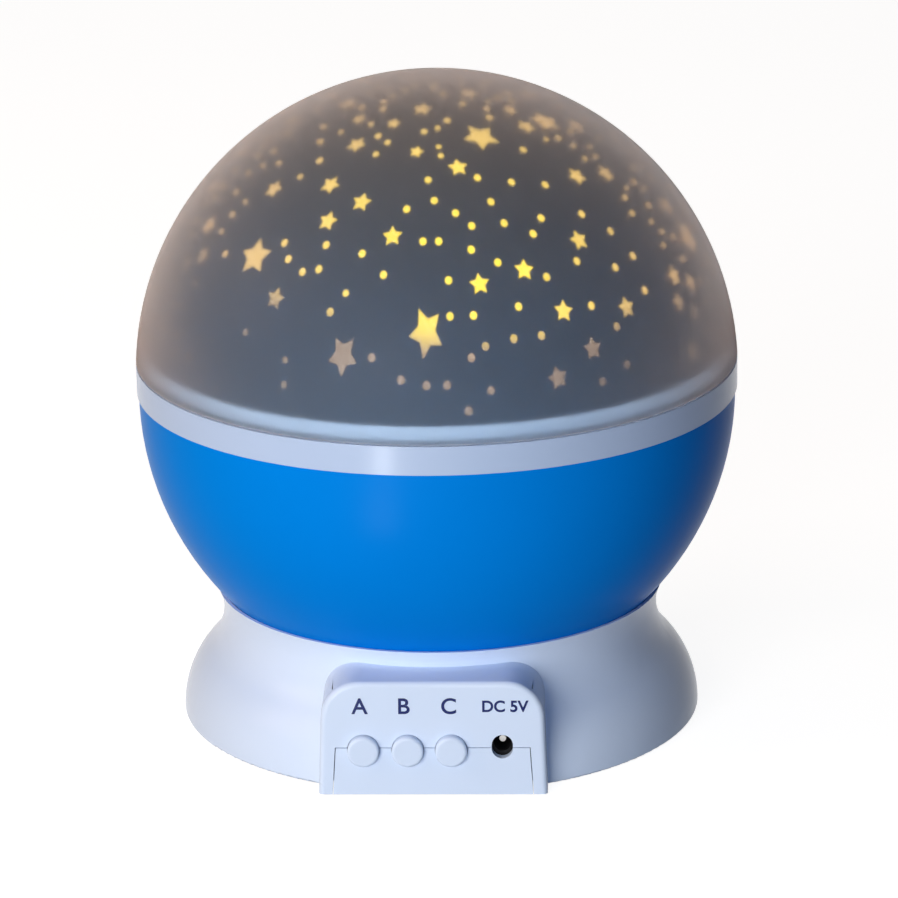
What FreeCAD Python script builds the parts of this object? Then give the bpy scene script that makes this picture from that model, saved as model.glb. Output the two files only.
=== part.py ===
"""Star night light: a frosted globe over a turning star dome, on a blue bowl and a white bell foot.

Millimetres, +Z up. The origin is on the table, under the middle of the lamp. The front, with its
three buttons, faces -Y. Each piece is one object of the document, and its sizes are bound to the
spreadsheet called Sizes.
"""
import FreeCAD, Part
import math
import os
import re
import Sketcher

doc = FreeCAD.newDocument("star_light")
sheet = doc.addObject("Spreadsheet::Sheet", "Sizes")

# Name, size in millimetres (or degrees, or a count), and what it is.
SIZES = [
    ("ring_radius", 60.2, "outside of the white ring"),
    ("ring_height", 5.7, "white ring, height"),
    ("ring_wall", 1.3, "white ring, wall"),
    ("seam_gap", 0.2, "open seam between two shells"),
    ("fit_gap", 0.3, "clearance of a loose fit"),
    ("run_gap", 0.05, "radial clearance of a running fit"),
    ("past", 1.0, "how far a cut runs past the face it opens"),
    ("globe_rise", 57.0, "frosted globe, height above its seam"),
    ("dome_wall", 1.6, "frosted globe, wall"),
    ("spigot_wall", 0.8, "collar of the globe, wall"),
    ("spigot_gap", 0.15, "collar of the globe, radial clearance in the ring"),
    ("spigot_rise", 1.0, "collar of the globe above the seam"),
    ("star_gap", 1.4, "air between the globe and the star dome"),
    ("star_wall", 0.8, "star dome, wall"),
    ("star_rise", 3.1, "lower edge of the star dome above the ring"),
    ("rim_wall", 1.6, "turntable, rim wall"),
    ("rim_lip", 1.2, "turntable, lip that centres the star dome"),
    ("disc_wall", 1.5, "turntable, disc"),
    ("hub_radius", 9.0, "turntable, hub"),
    ("hub_height", 7.5, "turntable, hub above the deck"),
    ("gear_module", 0.8, "pitch diameter per tooth"),
    ("gear_teeth", 50, "teeth on the turntable"),
    ("pinion_teeth", 12, "teeth on the pinion"),
    ("gear_face", 1.4, "width of the teeth"),
    ("tooth_share", 0.42, "tooth width over the pitch, at the pitch circle"),
    ("tooth_tip", 0.9, "tooth above the pitch circle, in modules"),
    ("tooth_root", 1.1, "root below the pitch circle, in modules"),
    ("tooth_sink", 0.2, "foot of a tooth inside the root circle, in modules"),
    ("tooth_slope", 0.5, "tooth's tip narrower, and its foot wider, than at the pitch circle, as a share"),
    ("deck_rise", 1.0, "underside of the deck above the ring's lower edge"),
    ("deck_wall", 2.0, "deck, thickness"),
    ("post_radius", 6.0, "lamp post, outside"),
    ("post_bore", 4.2, "lamp post, bore for the leads"),
    ("post_height", 18.2, "lamp post, height above the deck"),
    ("clip_wall", 0.8, "retaining clip, thickness"),
    ("clip_depth", 0.5, "groove for the clip, depth"),
    ("clip_radius", 8.0, "retaining clip, outside"),
    ("lamp_board_radius", 9.0, "light board, radius"),
    ("board_wall", 1.6, "circuit boards, thickness"),
    ("chip_width", 3.0, "light chip, width"),
    ("chip_height", 0.9, "light chip, height"),
    ("chip_ring", 5.0, "radius of the ring of coloured chips"),
    ("motor_radius", 10.0, "gear motor, radius"),
    ("motor_height", 16.0, "gear motor, height of the can"),
    ("motor_boss", 3.0, "gear motor, nose radius"),
    ("motor_plate", 1.5, "gear motor, mounting plate"),
    ("motor_ear", 13.0, "gear motor, shaft to screw"),
    ("motor_ear_width", 8.0, "gear motor, width of its plate"),
    ("shaft_radius", 1.0, "motor shaft, radius"),
    ("bowl_inset", 0.4, "step from the ring in to the bowl"),
    ("bowl_drop", 1.0, "ring's lower edge to the bowl's centre"),
    ("bowl_wall", 2.0, "bowl, wall"),
    ("bowl_floor", 25.45, "underside of the bowl above the table"),
    ("floor_radius", 42.6, "bowl's flat floor, radius"),
    ("lead_hole", 5.0, "hole in the bowl's floor for the leads, radius"),
    ("deck_boss_inset", 7.9, "deck screws, in from the ring's inside"),
    ("bowl_boss_inset", 4.1, "bowl screws, in from the edge of the bowl's floor"),
    ("bowl_boss_rise", 7.0, "bowl screws' bosses, height above the floor"),
    ("boss_radius", 3.2, "screw bosses, radius"),
    ("screw_radius", 1.2, "screws, shank radius"),
    ("screw_head", 2.4, "screws, head radius"),
    ("screw_head_height", 1.2, "screws, head height"),
    ("screw_bite", 7.0, "pilot hole for a screw, depth"),
    ("screw_spare", 1.0, "pilot hole past the tip of its screw"),
    ("socket_radius", 1.1, "screws, radius of the drive socket"),
    ("socket_depth", 0.7, "screws, depth of the drive socket"),
    ("lip_rise", 1.6, "upper edge of the foot above the bowl's floor"),
    ("lip_gap", 0.1, "open seam between the bowl and the foot"),
    ("neck_drop", 5.0, "upper edge of the foot down to its waist"),
    ("neck_inset", 0.2, "bowl's edge in to the foot's waist"),
    ("foot_flare", 8.5, "foot, its widest radius over its waist's"),
    ("foot_round", 18.0, "foot, radius of its shoulder"),
    ("foot_edge", 0.5, "foot, radius of its lower edge"),
    ("foot_low", 0.5, "lower edge of the foot above the table"),
    ("base_wall", 2.0, "foot, wall"),
    ("ledge_wall", 2.0, "foot, ledge under the bowl"),
    ("ledge_width", 8.6, "foot, ledge inside the edge of the bowl's floor"),
    ("panel_proud", 0.25, "panel's lower edge in front of the foot"),
    ("panel_depth", 20.2, "panel's block, front to back, ending inside the foot"),
    ("panel_width", 44.7, "panel, width at the table"),
    ("panel_height", 23.45, "panel, height at the front"),
    ("panel_slope", 0.8, "panel, rise of its top towards the waist"),
    ("panel_draft", 2.2, "panel, lean of each side in degrees"),
    ("panel_corner", 7.6, "panel, radius of its upper corners"),
    ("panel_edge", 1.0, "panel, radius of its edges"),
    ("tongue_inset", 2.7, "front flap of the bottom cover, in from each side of the panel"),
    ("tongue_taper", 0.62, "front flap, each side drawn in at the top"),
    ("parting_height", 10.15, "top of the front flap"),
    ("parting_gap", 0.15, "open seam around the front flap"),
    ("button_radius", 3.1, "button, radius"),
    ("button_proud", 1.5, "button, height above the panel"),
    ("button_round", 0.6, "button, radius of its edge"),
    ("button_gap", 0.1, "button, radial clearance"),
    ("button_travel", 0.8, "button, stroke"),
    ("button_flange", 1.0, "button, flange past its edge"),
    ("flange_wall", 1.0, "button, flange thickness"),
    ("stem_radius", 1.8, "button, stem radius"),
    ("button_height", 9.6, "buttons, centre above the table"),
    ("button_a_place", -13.5, "button A, across from the middle"),
    ("button_b_place", -4.85, "button B, across from the middle"),
    ("button_c_place", 3.6, "button C, across from the middle"),
    ("jack_place", 13.55, "power socket, across from the middle"),
    ("jack_height", 10.3, "power socket, centre above the table"),
    ("jack_hole_width", 4.1, "hole for the socket, width"),
    ("jack_hole_height", 4.8, "hole for the socket, height"),
    ("jack_bore", 1.75, "socket, bore radius"),
    ("jack_pin", 0.65, "socket, centre pin radius"),
    ("jack_floor", 1.0, "socket, wall behind its bore"),
    ("pin_inset", 2.2, "socket, pin's tip behind its face"),
    ("jack_width", 7.4, "socket, body width and height"),
    ("switch_width", 6.0, "tact switch, width"),
    ("switch_depth", 3.5, "tact switch, depth"),
    ("plunger_radius", 1.75, "tact switch, plunger radius"),
    ("plunger_depth", 0.7, "tact switch, plunger length"),
    ("board_inset", 9.5, "panel's lower edge to the control board's face"),
    ("board_side", 1.35, "air between the control board and the panel's sides"),
    ("board_height", 14.0, "control board, height"),
    ("rib_inset", 3.0, "control board's side edge to the rib behind it"),
    ("rib_width", 3.0, "ribs behind the control board, width"),
    ("rib_height", 7.0, "ribs behind the control board, height"),
    ("cover_rise", 0.3, "bottom cover above the foot's lower edge"),
    ("cover_wall", 2.0, "bottom cover, thickness"),
    ("post_gap", 0.9, "air between the battery bay and the bottom cover's posts"),
    ("cell_radius", 5.25, "battery cell, radius"),
    ("cell_length", 44.5, "battery cell, length over its nub"),
    ("cell_nub", 1.9, "battery cell, nub radius"),
    ("cell_nub_height", 1.0, "battery cell, nub height"),
    ("cell_gap", 0.2, "air between cells"),
    ("contact_space", 2.6, "room for a contact at each end of a cell"),
    ("contact_wall", 0.4, "battery contacts, thickness"),
    ("contact_width", 8.4, "battery contacts, width and height"),
    ("spring_radius", 2.9, "battery contacts, pad at a cell's flat end, radius"),
    ("bump_radius", 1.7, "battery contacts, pad at a cell's nub, radius"),
    ("bay_wall", 1.5, "battery bay, wall"),
    ("door_wall", 1.6, "battery door, thickness"),
    ("hinge_radius", 1.0, "battery door, knuckle radius"),
    ("hinge_pin", 0.6, "battery door, pin radius"),
    ("hinge_pin_length", 1.6, "battery door, pin length"),
    ("hinge_space", 1.8, "battery bay's outside to the hinge axis"),
    ("thumb_radius", 4.0, "finger recess at the door's front, radius"),
    ("thumb_depth", 1.2, "finger recess at the door's front, depth"),
    ("pad_radius", 4.0, "rubber foot, radius"),
    ("pad_inset", 3.4, "rubber feet, in from the foot's widest radius"),
    ("pad_angle", 32.0, "rubber feet, turn from the lamp's side in degrees, clear of the cover's screws"),
    ("pad_depth", 0.8, "rubber foot, depth of its recess"),
    ("lead_radius", 0.8, "leads, radius"),
]

for row, (name, size, note) in enumerate(SIZES, start=1):
    sheet.set("A%d" % row, name)
    sheet.set("B%d" % row, str(size))
    sheet.set("C%d" % row, note)
    sheet.setAlias("B%d" % row, name)
doc.recompute()

FUNCTIONS = {"sqrt", "sin", "cos", "tan", "pi"}


def named(rule):
    """A rule written with the sheet's names, as an expression that the document can hold."""
    def full(match):
        word = match.group(0)
        return word if word in FUNCTIONS else "Sizes." + word
    return re.sub(r"[a-z_][a-z_0-9]*", full, rule)


def value(rule):
    """What a rule comes to now."""
    return float(sheet.evalExpression(named(rule)))


def bind(thing, **rules):
    """Tie properties of an object to rules; two underscores stand for a dot in the path."""
    for path, rule in rules.items():
        thing.setExpression(path.replace("__", "."), named(rule))


pieces = []


def new_piece(label):
    """A piece of the lamp, to be built up from features."""
    piece = doc.addObject("PartDesign::Body", label)
    piece.Label = label
    pieces.append(piece)
    return piece


def plane(piece, role, offset="0"):
    """A sketch on one of the piece's own planes, moved out along the plane's normal."""
    sketch = piece.newObject("Sketcher::SketchObject", piece.Label + "_sketch")
    origin_plane = [item for item in piece.Origin.OriginFeatures if item.Role == role][0]
    sketch.AttachmentSupport = [(origin_plane, "")]
    sketch.MapMode = "FlatFace"
    bind(sketch, AttachmentOffset__Base__z=offset)
    return sketch


def hold(sketch, element, point, across, up):
    """Fix one point of a sketch by its two distances from the origin."""
    for kind, rule in (("DistanceX", across), ("DistanceY", up)):
        index = sketch.addConstraint(Sketcher.Constraint(kind, -1, 1, element, point, value(rule)))
        sketch.setExpression("Constraints[%d]" % index, named(rule))


def trace(sketch, corners, arcs=None):
    """Draw a closed outline. arcs gives some sides a radius; a minus sign puts its centre on the
    right of the side as the outline is walked, and otherwise it is on the left."""
    arcs = arcs or {}
    first = sketch.GeometryCount
    spots = [FreeCAD.Vector(value(across), value(up), 0) for across, up in corners]
    count = len(spots)
    ends = []
    for side in range(count):
        start, stop = spots[side], spots[(side + 1) % count]
        if side not in arcs:
            sketch.addGeometry(Part.LineSegment(start, stop), False)
            ends.append((1, 2))
            continue
        on_left = not arcs[side].startswith("-")
        radius = value(arcs[side].lstrip("-"))
        chord = stop - start
        reach = math.sqrt(max(radius ** 2 - (chord.Length / 2) ** 2, 0.0))
        normal = FreeCAD.Vector(-chord.y, chord.x, 0).normalize()
        centre = (start + stop) * 0.5 + normal * (reach if on_left else -reach)
        low, high = (start, stop) if on_left else (stop, start)
        turn = [math.atan2(spot.y - centre.y, spot.x - centre.x) for spot in (low, high)]
        circle = Part.Circle(centre, FreeCAD.Vector(0, 0, 1), radius)
        sketch.addGeometry(Part.ArcOfCircle(circle, turn[0], turn[1]), False)
        ends.append((1, 2) if on_left else (2, 1))
    for side in range(count):
        after = (side + 1) % count
        sketch.addConstraint(
            Sketcher.Constraint("Coincident", first + side, ends[side][1], first + after, ends[after][0]))
    for side, (across, up) in enumerate(corners):
        hold(sketch, first + side, ends[side][0], across, up)
    for side, rule in arcs.items():
        rule = rule.lstrip("-")
        index = sketch.addConstraint(Sketcher.Constraint("Radius", first + side, value(rule)))
        sketch.setExpression("Constraints[%d]" % index, named(rule))
    return sketch


def rings(sketch, centres, radius):
    """Draw circles of one radius."""
    for across, up in centres:
        middle = FreeCAD.Vector(value(across), value(up), 0)
        index = sketch.addGeometry(Part.Circle(middle, FreeCAD.Vector(0, 0, 1), value(radius)), False)
        hold(sketch, index, 3, across, up)
        size = sketch.addConstraint(Sketcher.Constraint("Radius", index, value(radius)))
        sketch.setExpression("Constraints[%d]" % size, named(radius))
    return sketch


def block(sketch, left, right, low, high):
    """Draw a rectangle."""
    return trace(sketch, [(left, low), (right, low), (right, high), (left, high)])


def feature(piece, kind, sketch, **settings):
    """Add a feature made from a sketch."""
    made = piece.newObject("PartDesign::" + kind, piece.Label + "_" + kind.lower())
    made.Profile = sketch
    for name, setting in settings.items():
        setattr(made, name, setting)
    return made


def turned(piece, sketch):
    """Turn an outline once around the lamp's own axis, adding material."""
    return feature(piece, "Revolution", sketch, ReferenceAxis=(sketch, ["V_Axis"]), Angle=360)


def turned_out(piece, sketch):
    """Turn an outline once around the lamp's own axis, taking material away."""
    return feature(piece, "Groove", sketch, ReferenceAxis=(sketch, ["V_Axis"]), Angle=360)


def raised(piece, sketch, length, **settings):
    """Pad a sketch along its normal."""
    made = feature(piece, "Pad", sketch, **settings)
    bind(made, Length=length)
    return made


def cut(piece, sketch, length, along_normal=True, **settings):
    """Pocket a sketch, along its normal unless told otherwise."""
    made = feature(piece, "Pocket", sketch, Reversed=along_normal, **settings)
    bind(made, Length=length)
    return made


def edges_of(piece, chosen):
    """The names of the edges of a piece so far that a test picks."""
    doc.recompute()
    return ["Edge%d" % number for number, edge in enumerate(piece.Tip.Shape.Edges, start=1) if chosen(edge)]


def rounded(piece, chosen, radius):
    """Round the edges that a test picks."""
    names = edges_of(piece, chosen)
    base = piece.Tip
    made = piece.newObject("PartDesign::Fillet", piece.Label + "_fillet")
    made.Base = (base, names)
    bind(made, Radius=radius)
    return made


def around(ring, count, start):
    """Places on a circle about the axis, as rules."""
    step = 360 / count
    return [("%s*cos(%.4f)" % (ring, start + step * k), "%s*sin(%.4f)" % (ring, start + step * k))
            for k in range(count)]


def screws(label, centres, seat, up, bite):
    """Pan-head screws, all alike: the head on its seat, the shank going up or down from there."""
    piece = new_piece(label)
    head_low = "%s-screw_head_height" % seat if up else seat
    shank_low = seat if up else "%s-(%s)" % (seat, bite)
    raised(piece, rings(plane(piece, "XY_Plane", shank_low), centres, "screw_radius"), bite)
    raised(piece, rings(plane(piece, "XY_Plane", head_low), centres, "screw_head"), "screw_head_height")
    socket_low = head_low if up else "%s+screw_head_height-socket_depth" % head_low
    cut(piece, rings(plane(piece, "XY_Plane", socket_low), centres, "socket_radius"), "socket_depth")
    return piece


# Rules that several pieces share.
BOWL_R = "(ring_radius-bowl_inset)"
BOWL_Z = "(bowl_floor+sqrt(%s^2-floor_radius^2))" % BOWL_R
RING_LOW = "(%s+bowl_drop)" % BOWL_Z
RING_TOP = "(%s+ring_height)" % RING_LOW
RING_IN = "(ring_radius-ring_wall)"
DOME_LOW = "(%s+seam_gap)" % RING_TOP
CROWN = "(%s+globe_rise)" % DOME_LOW
DOME_R = "((ring_radius^2+globe_rise^2)/(2*globe_rise))"
DOME_Z = "(%s-%s)" % (CROWN, DOME_R)
STAR_R = "(%s-dome_wall-star_gap)" % DOME_R
STAR_LOW = "(%s+star_rise)" % RING_TOP
DECK_LOW = "(%s+deck_rise)" % RING_LOW
DECK_TOP = "(%s+deck_wall)" % DECK_LOW
POST_TOP = "(%s+post_height)" % DECK_TOP
SPIGOT_OUT = "(%s-spigot_gap)" % RING_IN
SPIGOT_IN = "(%s-spigot_wall)" % SPIGOT_OUT
LIP_TOP = "(bowl_floor+lip_rise)"
NECK_Z = "(%s-neck_drop)" % LIP_TOP
FOOT_Z = "(foot_low+foot_edge)"
COVER_LOW = "(foot_low+cover_rise)"
COVER_TOP = "(%s+cover_wall)" % COVER_LOW


def across_ball(radius, centre, height):
    """How far a ball's skin stands from the axis at a height."""
    return "sqrt((%s)^2-(%s-(%s))^2)" % (radius, height, centre)


# The foot's section: a round shoulder, centred inside, that runs smoothly into a waist centred outside.
NECK_R = "(%s-neck_inset)" % across_ball(BOWL_R, BOWL_Z, LIP_TOP)
FOOT_R = "(%s+foot_flare)" % NECK_R
SHOULDER_X = "(%s-foot_round)" % FOOT_R
REACH = "(foot_round-foot_flare)"
CLIMB = "(%s-%s)" % (NECK_Z, FOOT_Z)
WAIST_R = "((%s^2+%s^2-foot_round^2)/(2*(foot_round-%s)))" % (REACH, CLIMB, REACH)
WAIST_X = "(%s+%s)" % (NECK_R, WAIST_R)


def on_shoulder(inward):
    """Where the shoulder meets the waist, on a skin that lies inward of the outside."""
    share = "((foot_round-%s)/(foot_round+%s))" % (inward, WAIST_R)
    return ("%s+(%s-%s)*%s" % (SHOULDER_X, WAIST_X, SHOULDER_X, share), "%s+%s*%s" % (FOOT_Z, CLIMB, share))


def waist_at(height, inward):
    """How far the foot's waist stands from the axis at a height, on a skin that lies inward."""
    return "%s-sqrt((%s+%s)^2-(%s-%s)^2)" % (WAIST_X, WAIST_R, inward, height, NECK_Z)


PANEL_FACE = "(%s+panel_proud)" % FOOT_R
BOARD_FACE = "(%s-board_inset)" % PANEL_FACE


def panel_y(height, inward="0"):
    """The panel's front at a height, as it leans back; y is negative at the front."""
    return "-(%s-%s-(%s-foot_low)*tan(panel_draft))" % (PANEL_FACE, inward, height)


def build_outer_dome():
    """Frosted globe: about half a ball, with a thin collar that drops inside the white ring."""
    piece = new_piece("outer_dome")
    inner = "(%s-dome_wall)" % DOME_R
    step = "(%s+spigot_rise)" % DOME_LOW
    outline = [
        ("0", CROWN),
        ("0", CROWN + "-dome_wall"),
        (across_ball(inner, DOME_Z, step), step),
        (SPIGOT_IN, step),
        (SPIGOT_IN, DECK_TOP),
        (SPIGOT_OUT, DECK_TOP),
        (SPIGOT_OUT, DOME_LOW),
        ("ring_radius", DOME_LOW),
    ]
    turned(piece, trace(plane(piece, "XZ_Plane"), outline, {1: "-" + inner, 7: DOME_R}))


def build_star_dome():
    """Dark inner dome, whose star and dot windows let the light out. It rides on the turntable."""
    piece = new_piece("star_dome")
    inner = "(%s-star_wall)" % STAR_R
    outline = [
        ("0", "%s+%s" % (DOME_Z, STAR_R)),
        ("0", "%s+%s" % (DOME_Z, inner)),
        (across_ball(inner, DOME_Z, STAR_LOW), STAR_LOW),
        (across_ball(STAR_R, DOME_Z, STAR_LOW), STAR_LOW),
    ]
    turned(piece, trace(plane(piece, "XZ_Plane"), outline, {1: "-" + inner, 3: STAR_R}))


def teeth(piece, count, low):
    """Straight-sided teeth around a wheel, each a little thinner than its gap."""
    pitch = "(gear_module*%s/2)" % count
    half = "(gear_module*pi*tooth_share/2)"
    inner, outer = pitch + "-gear_module*(tooth_root+tooth_sink)", pitch + "+gear_module*tooth_tip"
    wide, narrow = half + "*(1+tooth_slope)", half + "*(1-tooth_slope)"
    sketch = plane(piece, "XY_Plane", low)
    trace(sketch, [(inner, "-" + wide), (outer, "-" + narrow), (outer, narrow), (inner, wide)])
    tooth = raised(piece, sketch, "gear_face")
    pattern = piece.newObject("PartDesign::PolarPattern", piece.Label + "_teeth")
    pattern.Originals = [tooth]
    pattern.Axis = (sketch, ["N_Axis"])
    pattern.Angle = 360
    bind(pattern, Occurrences=count)
    piece.Tip = pattern
    doc.recompute()
    return pattern


GEAR_LOW = "(%s+fit_gap)" % DECK_TOP
DISC_LOW = "(%s+gear_face)" % GEAR_LOW
DISC_TOP = "(%s+disc_wall)" % DISC_LOW
HUB_TOP = "(%s+hub_height)" % DECK_TOP
RIM_TOP = "(%s+rim_lip)" % STAR_LOW
RIM_OUT = "(%s+fit_gap)" % across_ball(STAR_R, DOME_Z, STAR_LOW)
LIP_OUT = "(%s-fit_gap)" % across_ball("(%s-star_wall)" % STAR_R, DOME_Z, RIM_TOP)


def build_turntable():
    """White turntable: a rim that carries the star dome, a disc, a hub on the lamp post, and teeth."""
    piece = new_piece("turntable")
    bore = "(post_radius+run_gap)"
    root = "(gear_module*(gear_teeth/2-tooth_root))"
    outline = [
        (bore, GEAR_LOW),
        (root, GEAR_LOW),
        (root, DISC_LOW),
        (RIM_OUT, DISC_LOW),
        (RIM_OUT, STAR_LOW),
        (LIP_OUT, STAR_LOW),
        (LIP_OUT, RIM_TOP),
        ("%s-rim_wall/2" % LIP_OUT, RIM_TOP),
        ("%s-rim_wall/2" % LIP_OUT, DISC_TOP),
        ("hub_radius", DISC_TOP),
        ("hub_radius", HUB_TOP),
        (bore, HUB_TOP),
    ]
    turned(piece, trace(plane(piece, "XZ_Plane"), outline))
    teeth(piece, "gear_teeth", GEAR_LOW)


PINION_X = "(gear_module*(gear_teeth+pinion_teeth)/2)"


def build_pinion():
    """Small drive pinion on the motor's shaft, in mesh with the turntable."""
    piece = new_piece("drive_pinion")
    root = "gear_module*(pinion_teeth/2-tooth_root)"
    core = rings(plane(piece, "XY_Plane", GEAR_LOW), [("0", "0")], root)
    raised(piece, core, "gear_face")
    teeth(piece, "pinion_teeth", GEAR_LOW)
    cut(piece, rings(plane(piece, "XY_Plane", GEAR_LOW), [("0", "0")], "shaft_radius"), "gear_face")
    bind(piece, Placement__Base__x=PINION_X, Placement__Rotation__Angle="180+180/pinion_teeth")


MOTOR_TOP = "(%s-motor_plate)" % DECK_LOW
DECK_BOSSES = "(%s-deck_boss_inset)" % RING_IN
DECK_SCREWS = around(DECK_BOSSES, 3, 90)
MOTOR_EARS = [(PINION_X, "motor_ear"), (PINION_X, "-motor_ear")]
CLIP_LOW = "(%s+fit_gap)" % HUB_TOP


def build_upper_deck():
    """White ring and deck in one moulding, with the hollow post that carries the lights."""
    piece = new_piece("upper_deck")
    outline = [
        ("post_bore", DECK_LOW),
        (RING_IN, DECK_LOW),
        (RING_IN, RING_LOW),
        ("ring_radius", RING_LOW),
        ("ring_radius", RING_TOP),
        (RING_IN, RING_TOP),
        (RING_IN, DECK_TOP),
        ("post_radius", DECK_TOP),
        ("post_radius", POST_TOP),
        ("post_bore", POST_TOP),
    ]
    turned(piece, trace(plane(piece, "XZ_Plane"), outline))
    groove = plane(piece, "XZ_Plane")
    block(groove, "post_radius-clip_depth", "post_radius+past", CLIP_LOW, "%s+clip_wall+run_gap" % CLIP_LOW)
    turned_out(piece, groove)
    nose = plane(piece, "XY_Plane", DECK_LOW)
    cut(piece, rings(nose, [(PINION_X, "0")], "motor_boss+fit_gap"), "deck_wall")
    holes = plane(piece, "XY_Plane", DECK_LOW)
    cut(piece, rings(holes, DECK_SCREWS + MOTOR_EARS, "screw_radius+run_gap"), "deck_wall")


def build_clip():
    """Spring-steel clip in the post's groove, which keeps the turntable down."""
    piece = new_piece("retaining_clip")
    sketch = plane(piece, "XY_Plane", CLIP_LOW)
    rings(sketch, [("0", "0")], "clip_radius")
    rings(sketch, [("0", "0")], "post_radius-clip_depth+run_gap")
    raised(piece, sketch, "clip_wall")
    mouth = plane(piece, "XY_Plane", CLIP_LOW)
    cut(piece, block(mouth, "-post_radius/2", "post_radius/2", "-clip_radius-past", "0"), "clip_wall")


def build_lights():
    """Round light board on the post, with one warm chip in the middle and three coloured ones."""
    piece = new_piece("lamp_board")
    raised(piece, rings(plane(piece, "XY_Plane", POST_TOP), [("0", "0")], "lamp_board_radius"), "board_wall")
    places = [("0", "0")] + around("chip_ring", 3, 90)
    for colour, (across, back) in zip(("warm", "red", "green", "blue"), places):
        chip = new_piece("light_chip_" + colour)
        sketch = plane(chip, "XY_Plane", POST_TOP + "+board_wall")
        half = "chip_width/2"
        block(sketch, across + "-" + half, across + "+" + half, back + "-" + half, back + "+" + half)
        raised(chip, sketch, "chip_height")


def build_motor():
    """Gear motor that hangs under the deck: a can, a plate with two ears and a nose, and its shaft."""
    piece = new_piece("gear_motor")
    can = plane(piece, "XY_Plane", "%s-motor_height" % MOTOR_TOP)
    raised(piece, rings(can, [("0", "0")], "motor_radius"), "motor_height")
    ears = plane(piece, "XY_Plane", MOTOR_TOP)
    half, reach = "motor_ear_width/2", "motor_ear+motor_boss"
    block(ears, "-" + half, half, "-(%s)" % reach, reach)
    raised(piece, ears, "motor_plate")
    nose = plane(piece, "XY_Plane", DECK_LOW)
    raised(piece, rings(nose, [("0", "0")], "motor_boss"), "deck_wall")
    bore = plane(piece, "XY_Plane", "%s-motor_height/2" % MOTOR_TOP)
    cut(piece, rings(bore, [("0", "0")], "shaft_radius+run_gap"), "motor_height/2+motor_plate+deck_wall")
    holes = plane(piece, "XY_Plane", MOTOR_TOP)
    places = [("0", "motor_ear"), ("0", "-motor_ear")]
    cut(piece, rings(holes, places, "screw_radius+run_gap"), "motor_plate")
    bind(piece, Placement__Base__x=PINION_X)
    shaft = new_piece("motor_shaft")
    sketch = plane(shaft, "XY_Plane", "%s-motor_height/2+fit_gap" % MOTOR_TOP)
    length = "%s+gear_face-(%s-motor_height/2+fit_gap)" % (GEAR_LOW, MOTOR_TOP)
    raised(shaft, rings(sketch, [("0", "0")], "shaft_radius"), length)
    bind(shaft, Placement__Base__x=PINION_X)


BOWL_SCREWS = around("(floor_radius-bowl_boss_inset)", 4, 0)


def build_bowl():
    """Blue bowl: a ball's lower half with a flat floor, three tall bosses and four short ones."""
    piece = new_piece("bowl")
    inner = "(%s-bowl_wall)" % BOWL_R
    floor_top = "(bowl_floor+bowl_wall)"
    outline = [
        ("lead_hole", "bowl_floor"),
        ("floor_radius", "bowl_floor"),
        (across_ball(BOWL_R, BOWL_Z, RING_LOW), RING_LOW),
        (across_ball(inner, BOWL_Z, RING_LOW), RING_LOW),
        (across_ball(inner, BOWL_Z, floor_top), floor_top),
        ("lead_hole", floor_top),
    ]
    turned(piece, trace(plane(piece, "XZ_Plane"), outline, {1: BOWL_R, 3: "-" + inner}))
    start = "(%s-sqrt(%s^2-(%s+boss_radius)^2)+bowl_wall/2)" % (BOWL_Z, BOWL_R, DECK_BOSSES)
    posts = plane(piece, "XY_Plane", start)
    raised(piece, rings(posts, DECK_SCREWS, "boss_radius"), "%s-%s" % (DECK_LOW, start))
    posts = plane(piece, "XY_Plane", "bowl_floor")
    raised(piece, rings(posts, BOWL_SCREWS, "boss_radius"), "bowl_boss_rise")
    pilot = plane(piece, "XY_Plane", DECK_LOW + "-screw_bite")
    cut(piece, rings(pilot, DECK_SCREWS, "screw_radius+run_gap"), "screw_bite")
    pilot = plane(piece, "XY_Plane", "bowl_floor")
    cut(piece, rings(pilot, BOWL_SCREWS, "screw_radius+run_gap"), "bowl_boss_rise")


LEDGE_LOW = "(bowl_floor-ledge_wall)"
CELL_PITCH = "(cell_radius*2+cell_gap)"
BAY_X = "(%s*2)" % CELL_PITCH
BAY_Y = "(cell_length/2+contact_space)"
POST_PLACE = "(%s+bay_wall+post_gap+boss_radius)" % BAY_X
POSTS = [(sx + POST_PLACE, sy + POST_PLACE) for sx in ("", "-") for sy in ("", "-")]
TONGUE_HALF = "(panel_width/2-tongue_inset)"
BUTTONS = ("button_a_place", "button_b_place", "button_c_place")


def flap(sketch, gap):
    """The front flap's outline, drawn in by a gap all round its open edges."""
    low = "(%s-%s)" % (TONGUE_HALF, gap)
    high = "(%s-tongue_taper-%s)" % (TONGUE_HALF, gap)
    top = "(parting_height-%s)" % gap
    return trace(sketch, [("-" + low, "foot_low"), (low, "foot_low"), (high, top), ("-" + high, top)])


def panel_holes(piece):
    """Holes for the buttons and the power socket, all across the flap's upper edge."""
    start, depth = "(%s-base_wall*2)" % PANEL_FACE, "base_wall*3"
    centres = [(place, "button_height") for place in BUTTONS]
    holes = plane(piece, "XZ_Plane", start)
    cut(piece, rings(holes, centres, "button_radius+button_gap"), depth)
    half, rise = "jack_hole_width/2", "((jack_hole_height-jack_hole_width)/2)"
    low, high = "jack_height-" + rise, "jack_height+" + rise
    for height in (low, high):
        cut(piece, rings(plane(piece, "XZ_Plane", start), [("jack_place", height)], half), depth)
    middle = plane(piece, "XZ_Plane", start)
    cut(piece, block(middle, "jack_place-" + half, "jack_place+" + half, low, high), depth)


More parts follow.
